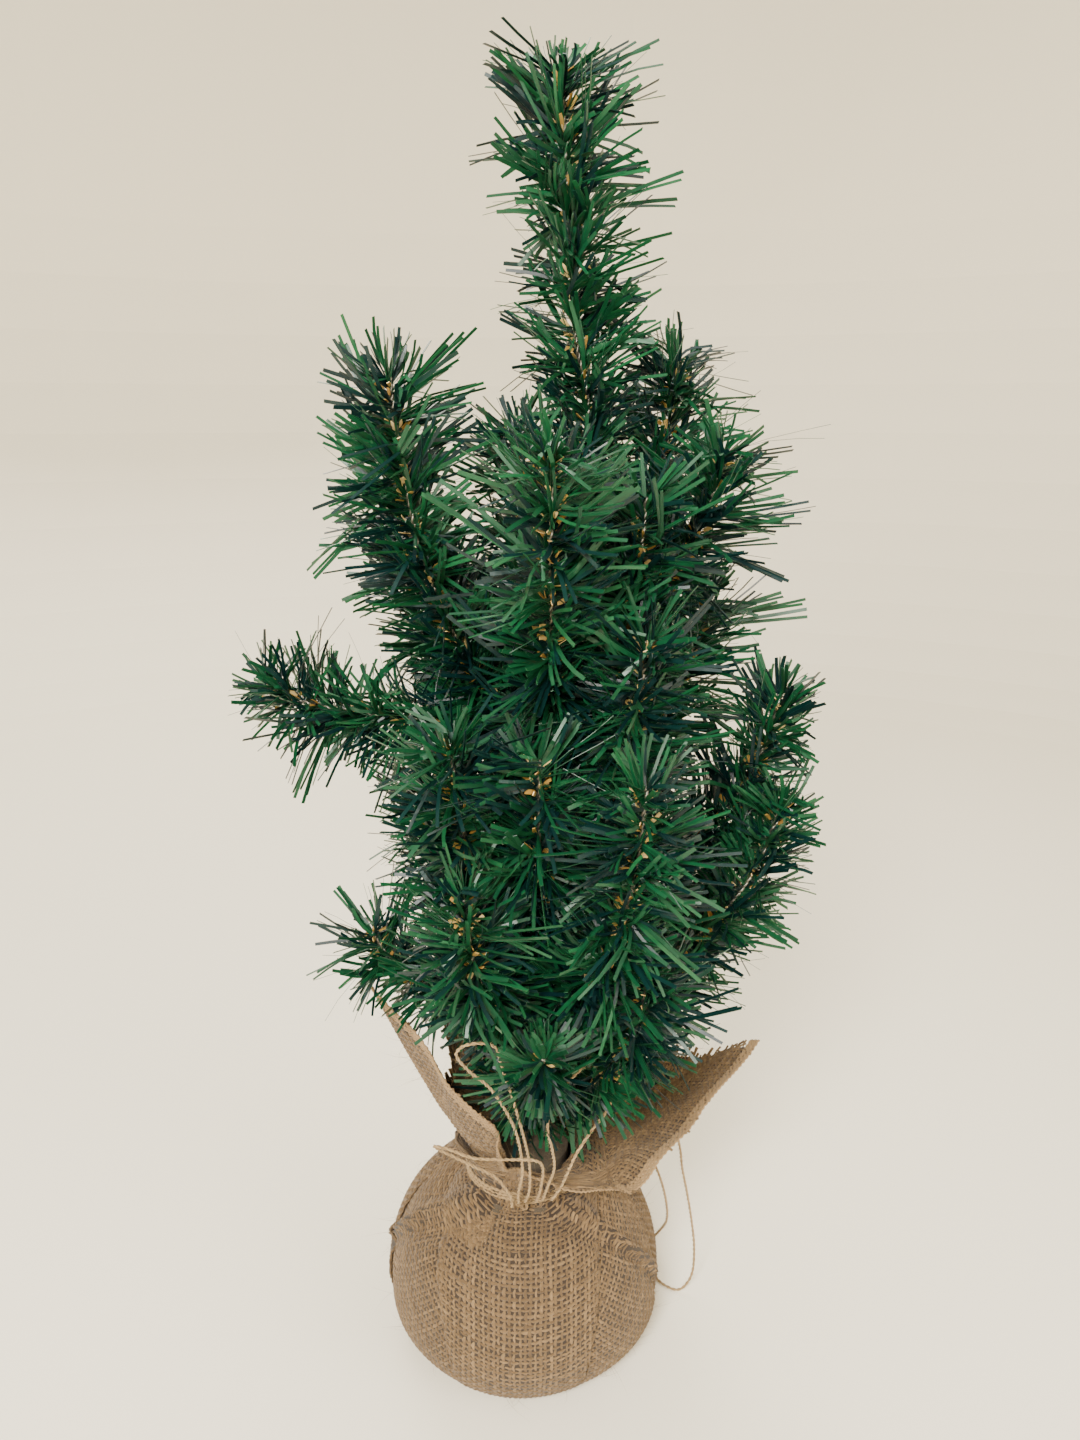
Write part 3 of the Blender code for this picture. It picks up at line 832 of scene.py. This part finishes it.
def make_free_twine(jute):
    """The loops and tails, each on the route that was laid for it."""
    for name, (far_end, route) in TWINES.items():
        points = smooth_points([Vector(p) * MM for p in route])
        rope = twisted(name + "_rope", points, TWINE_DIAMETER / 2, jute)
        pieces = [twine_fuzz(name + "_fuzz", points, jute)]
        if far_end == "bare":
            pieces.append(frayed_end(name + "_fray", points, jute))
        for piece in [rope] + pieces:
            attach(piece, "stand")
        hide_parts(name)


TIE_TURNS = 3
TIE_PITCH = TWINE_DIAMETER + 0.3 * MM
TIE_RADIUS = NECK_RADIUS - 0.2 * MM
TIE_MIDDLE = NECK_HEIGHT - NECK_STRAIGHT / 2


def tie_path():
    """The turns round the neck, from the front back to the front."""
    turned = np.linspace(0, 2 * np.pi * TIE_TURNS, 260)
    height = TIE_MIDDLE + TIE_PITCH * (turned / (2 * np.pi) - TIE_TURNS / 2)
    angle = turned - np.pi / 2
    return np.stack([TIE_RADIUS * np.cos(angle), TIE_RADIUS * np.sin(angle), height], axis=1)


def knot_path():
    """A trefoil that lies flat on the front of the turns."""
    turn = np.linspace(0, 2 * np.pi, 120)
    return np.stack([
        (np.sin(turn) + 2 * np.sin(2 * turn)) * 1.3 * MM,
        np.sin(3 * turn) * 1.2 * MM - TIE_RADIUS - 2.6 * MM,
        TIE_MIDDLE + (np.cos(turn) - 2 * np.cos(2 * turn)) * 1.1 * MM,
    ], axis=1)


def make_twine():
    """The free loops and tails, the turns round the neck and their knot."""
    jute = jute_material("twine_jute", *TWINE_TONES, 900)
    make_free_twine(jute)
    tie = twisted("tie_turns", tie_path(), TWINE_DIAMETER / 2, jute)
    knot = twisted("tie_knot", knot_path(), TWINE_DIAMETER / 2, jute)
    for piece in (tie, knot):
        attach(piece, "stand")
    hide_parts("twine_tie")


# ---------------------------------------------------------------- needles


NEEDLE_WIDTH = 1.42 * MM
NEEDLE_THICK = 0.16 * MM
NEEDLE_LENGTH = 26 * MM
NEEDLE_LEAST = 14 * MM
NEEDLE_MOST = 32 * MM
NEEDLE_KEPT = 7 * MM  # a needle cut shorter than this to fit is left out
GOLDEN_ANGLE = 2.39996
FAN_SIZE = 3  # needles in a fan, on average
PER_MM = 6.6
TIP_STRETCH = 12 * MM  # the last stretch of a wire, where needles point along it
GREEN_SHARE = 0.62  # the rest are blue-green
FLECK_PITCH = 1.2 * MM
FLECK_OUT = 2.4 * MM
ROOM = 9 * MM  # how far needles may go past the solids' box
FRONT_LOW = 1  # the number of the lowest front branch, whose needles are shorter
FRONT_LOW_SLIM = 0.74
# Bearing, and how far needles keep off the skirt there, in mm
HELD_OFF = ((-180, 4), (-100, 4), (-60, 14), (-30, 20), (0, 24), (30, 16), (60, 4), (180, 4))
# Height and the y of the twine's front loops there, in mm; needles stay behind them
TWINE_FRONT = ((80, -33), (118, -44), (145, -53), (168, -60), (190, -66), (200, -68))
# Bearing, and how far the skirt comes up there, in mm
REACH = (
    (-180, 108), (-142, 68), (-108, 42), (-90, 16), (-68, 16), (-42, 24), (-12, 62), (3, 112), (34, 60),
    (68, 100), (98, 60), (132, 100), (158, 60), (180, 108),
)


def skirt_radius(points):
    """How far from the axis needles may go at each point, and where the skirt stands beside it."""
    bearing = np.degrees(np.arctan2(points[..., 1], points[..., 0]))
    lean = np.radians(look_up(LEAN, bearing))
    above = np.maximum(points[..., 2] - NECK_HEIGHT, 0)
    radius = NECK_RADIUS + above * np.tan(lean) - look_up(HELD_OFF, bearing) * MM
    return radius, above / np.cos(lean) < look_up(REACH, bearing) * MM


def needle_paths(start, heading, bend, length, kink):
    """Paths that bend along their length, and may turn off at a kink before the middle."""
    share = np.array((0, 0.34, 0.55, 0.8, 1.0))[:, None]
    after_kink = np.maximum(share - 0.45, 0)
    return start[:, None] + length[:, None, None] * (
        heading[:, None] * share + bend[:, None] * share**2 + kink[:, None] * after_kink
    )


def before_twine(points):
    """Whether each point would hide the loops of twine in front of the skirt."""
    x, y, z = (points[..., i] / MM for i in range(3))
    return (np.abs(x + 2) < 44) & (z < 200) & (y < look_up(TWINE_FRONT, z))


def fit_lengths(start, heading, bend, length, kink, open_front=True):
    """Shortens needles that would leave the model's box, go through the skirt or hide the twine."""
    low = np.array(CAD_BOX[0]) - ROOM
    high = np.array(CAD_BOX[1]) + ROOM
    for _ in range(12):
        points = needle_paths(start, heading, bend, length, kink)
        outside = np.any((points < low) | (points > high), axis=(1, 2))
        radius, beside = skirt_radius(points)
        away = np.hypot(points[..., 0], points[..., 1])
        through = np.any((away > radius) & beside, axis=1)
        under = np.any(points[..., 2] < NECK_HEIGHT + 8 * MM, axis=1)
        bad = outside | through | under
        if open_front:
            bad = bad | np.any(before_twine(points), axis=1)
        if not bad.any():
            break
        length = np.where(bad, length * 0.86, length)
    return length


def varied(fan, fans, mean, by_fan, by_needle, axes=()):
    """Values that differ between fans, and a little between the needles of one fan."""
    return RNG.normal(mean, by_fan, (fans, *axes))[fan] + RNG.normal(0, by_needle, (len(fan), *axes))


def place_fans(line, first, per_mm):
    """How many fans there are, each needle's fan, its place along the line and its angle round it."""
    fans = int((line.length - first) / MM * per_mm / FAN_SIZE)
    places = first + (line.length - first) * (np.arange(fans) + RNG.uniform(0, 1, fans)) / fans
    angles = np.arange(fans) * GOLDEN_ANGLE + RNG.normal(0, 0.9, fans)
    members = RNG.integers(2, 5, fans)
    fan = np.repeat(np.arange(fans), members)
    rank = np.concatenate([np.arange(m) - (m - 1) / 2 for m in members])
    at = np.clip(places[fan] + rank * 0.7 * MM, first, line.length)
    spread = rank * RNG.uniform(0.04, 0.26, fans)[fan] + RNG.normal(0, 0.05, len(fan))
    return fans, fan, at, angles[fan] + spread


def turned_across(heading, along, spin):
    """The width direction of strips that are turned by an angle about their own length."""
    face = np.cross(heading, along)
    return np.cos(spin)[:, None] * face + np.sin(spin)[:, None] * np.cross(heading, face)


def needles(name, line, first, mats, per_mm, slim=1.0, open_front=True):
    """The strips held along one spine, in fans of a few that lie side by side."""
    fans, fan, at, angle = place_fans(line, first, per_mm)
    count = len(fan)
    near_tip = smoothstep(line.length - TIP_STRETCH, line.length, at)
    lean = np.clip(varied(fan, fans, 66, 19, 8), 24, 118)
    lean = np.radians(lean * (1 - 0.55 * near_tip * RNG.uniform(0.0, 1.0, count)))
    point, along, outward = outward_at(line, at, angle)
    heading = np.cos(lean)[:, None] * along + np.sin(lean)[:, None] * outward
    bend = varied(fan, fans, 0, 0.15, 0.07, (3,))
    kinked = RNG.random(fans)[fan] < 0.24
    kink = RNG.normal(0, 0.55, (fans, 3))[fan] * kinked[:, None]
    length = NEEDLE_LENGTH * slim * varied(fan, fans, 1.0, 0.12, 0.04)
    length = np.clip(length, NEEDLE_LEAST, NEEDLE_MOST) * (1 - 0.32 * near_tip)
    start = point + outward * 0.5 * MM
    length = fit_lengths(start, heading, bend, length, kink, open_front)
    keep = length > NEEDLE_KEPT
    paths = needle_paths(start, heading, bend, length, kink)[keep]
    across = turned_across(heading, along, varied(fan, fans, 0, 0.9, 0.25))
    across = np.repeat(across[keep][:, None], paths.shape[1], axis=1)
    width = NEEDLE_WIDTH * RNG.uniform(0.8, 1.2, count)[keep] / 2
    taper = np.array((0.55, 1, 1, 1, 0.92))
    verts, faces = sweep(paths, across, width[:, None] * taper, NEEDLE_THICK / 2, FLAT_PROFILE)
    green = RNG.random(fans)[fan] < GREEN_SHARE
    tone = np.where(green, RNG.normal(0.72, 0.13, count), RNG.normal(0.18, 0.11, count))
    tones = np.repeat(np.clip(tone, 0, 1)[keep], paths.shape[1] * len(FLAT_PROFILE))
    return mesh_object(name, verts, faces, mats["needles"], smooth=False, tones=tones)


def filaments(name, line, mats, count=26):
    """Hair-thin threads of film that stray past the needles."""
    at = RNG.uniform(0.2 * line.length, line.length, count)
    point, along, outward = outward_at(line, at, RNG.uniform(0, 2 * np.pi, count))
    heading = unit(outward + along * RNG.uniform(0.1, 0.9, (count, 1)))
    bend = RNG.normal(0, 0.30, (count, 3))
    length = RNG.uniform(18, 34, count) * MM
    kink = RNG.normal(0, 0.30, (count, 3))
    length = fit_lengths(point, heading, bend, length, kink)
    paths = needle_paths(point, heading, bend, length, kink)
    across = np.broadcast_to(ANY_ACROSS, paths.shape)
    verts, faces = sweep(paths, across, 0.09 * MM, 0.09 * MM, round_profile(3))
    return mesh_object(name, verts, faces, mats["needles"], tones=np.full(len(verts), 0.1))


def flecks(name, line, first, mats):
    """Short gold-brown strips that stand out from the wire between the needles."""
    count = int((line.length - first) / FLECK_PITCH)
    at = np.sort(RNG.uniform(first, line.length, count))
    angle = np.arange(count) * GOLDEN_ANGLE + RNG.normal(0, 0.5, count)
    point, along, outward = outward_at(line, at, angle)
    lean = np.radians(RNG.normal(52, 12, count))[:, None]
    heading = np.cos(lean) * along + np.sin(lean) * outward
    length = (RNG.uniform(2.6, 5.0, count) * MM)[:, None, None]
    share = np.array((0, 0.5, 1.0))[:, None]
    curl = RNG.normal(0, 0.16, (count, 3))[:, None]
    paths = (point + outward * FLECK_OUT)[:, None] + length * (heading[:, None] * share + curl * share**2)
    across = turned_across(heading, along, RNG.normal(0, 0.8, count))
    across = np.repeat(across[:, None], len(share), axis=1)
    width = RNG.uniform(0.65, 1.1, count)[:, None] * MM * np.array((0.7, 1.0, 0.85))
    verts, faces = sweep(paths, across, width, 0.12 * MM, FLAT_PROFILE)
    tone = np.repeat(RNG.uniform(0, 1, count), len(share) * len(FLAT_PROFILE))
    return mesh_object(name, verts, faces, mats["flecks"], smooth=False, tones=tone)


def make_branch(name, spine, body, mats, first=6 * MM, per_mm=PER_MM, slim=1.0, open_front=True):
    """One wire with what it holds; needles start at first, clear of the binding."""
    line = Line(spine)
    wires = twisted(name + "_twist", spine, 1.0 * MM, mats["wire"], lay=6 * MM, stations_per_lay=7)
    film = needles(name + "_film", line, first, mats, per_mm, slim, open_front)
    chips = flecks(name + "_flecks", line, first, mats)
    hairs = filaments(name + "_filaments", line, mats)
    for piece in (wires, film, chips, hairs):
        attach(piece, body)
    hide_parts(body + "_wire")
    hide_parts(body + "_needles")


def make_foliage():
    """Every branch, the leader, and the needles caught in the tape along the trunk."""
    mats = {"needles": needle_material(), "flecks": fleck_material(), "wire": wire_material()}
    for number, row in enumerate(BRANCHES, start=1):
        body = f"branch_{number:02d}"
        if number == FRONT_LOW:
            make_branch(body, branch_spine(*row), body, mats, slim=FRONT_LOW_SLIM, open_front=False)
        else:
            make_branch(body, branch_spine(*row), body, mats)
    make_branch("leader", leader_spine(), "leader", mats, first=4 * MM, per_mm=7.2, slim=0.98)
    heights = np.linspace(NECK_HEIGHT + 18 * MM, ROD_TOP - 2 * MM, 40)
    trunk = Line([trunk_centre(height) for height in heights])
    caught = needles("trunk_film", trunk, 0.0, mats, 8.0, slim=1.25)
    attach(caught, "stand")


# ---------------------------------------------------------------- plain parts and stage


FLOOR_RADIUS = 1.2
COVE_RADIUS = 0.8
COVE_STEPS = 12
WALL_TOP = 2.6
STAGE_SIDES = 64
LIGHT_COLOUR = (1.0, 0.965, 0.91)
LIGHT_AIM = Vector((0, 0, 0.28))
# Name, place, size in metres and power in watts
LIGHTS = (
    ("key", (-0.30, -1.10, 1.05), 0.4, 44),
    ("fill", (1.1, -0.8, 0.9), 0.9, 12),
    ("top", (0.1, 0.2, 1.7), 1.1, 12),
    ("back", (-0.6, 1.3, 1.1), 0.9, 16),
)


def repaint(node_name, mat):
    """A CAD solid that stays in view gets its detailed material."""
    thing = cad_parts[node_name]
    thing.data.materials.clear()
    thing.data.materials.append(mat)


def make_stage():
    """A pale round floor that curves up into a wall all round."""
    outline = [(FLOOR_RADIUS, 0)]
    for k in range(1, COVE_STEPS + 1):
        angle = math.pi / 2 * k / COVE_STEPS
        outline.append((FLOOR_RADIUS + COVE_RADIUS * math.sin(angle), COVE_RADIUS * (1 - math.cos(angle))))
    outline.append((FLOOR_RADIUS + COVE_RADIUS, WALL_TOP))
    verts, faces = [], []
    for radius, height in outline:
        for k in range(STAGE_SIDES):
            angle = 2 * math.pi * k / STAGE_SIDES
            verts.append((radius * math.cos(angle), radius * math.sin(angle), height))
    for ring in range(len(outline) - 1):
        low = ring * STAGE_SIDES
        high = low + STAGE_SIDES
        for k in range(STAGE_SIDES):
            j = (k + 1) % STAGE_SIDES
            faces.append((low + j, low + k, high + k, high + j))
    middle = len(verts)
    verts.append((0, 0, 0))
    for k in range(STAGE_SIDES):
        faces.append((k, (k + 1) % STAGE_SIDES, middle))
    mat, _, shader = new_material("stage_paint")
    shader.inputs["Base Color"].default_value = (0.93, 0.87, 0.72, 1)
    shader.inputs["Roughness"].default_value = 0.7
    mesh_object("stage", verts, faces, mat, smooth=False)


def make_lights():
    """Soft lights round the tree, and a pale world."""
    for name, place, size, power in LIGHTS:
        data = bpy.data.lights.new(name, "AREA")
        data.size = size
        data.energy = power
        data.color = LIGHT_COLOUR
        light = bpy.data.objects.new(name, data)
        light.location = place
        light.rotation_euler = (LIGHT_AIM - Vector(place)).to_track_quat("-Z", "Y").to_euler()
        bpy.context.scene.collection.objects.link(light)
    world = bpy.data.worlds.new("world")
    world.use_nodes = True
    background = world.node_tree.nodes["Background"]
    background.inputs["Color"].default_value = (0.95, 0.93, 0.88, 1)
    background.inputs["Strength"].default_value = 0.32
    bpy.context.scene.world = world


make_camera()
make_twine()
make_foliage()
make_burlap()
# The weight's cement is darkened as painted shade
repaint("base_weight", cement_and_shade_material())
repaint("trunk_rod", steel_material())
repaint("trunk_wrap", tape_material())
make_stage()
make_lights()
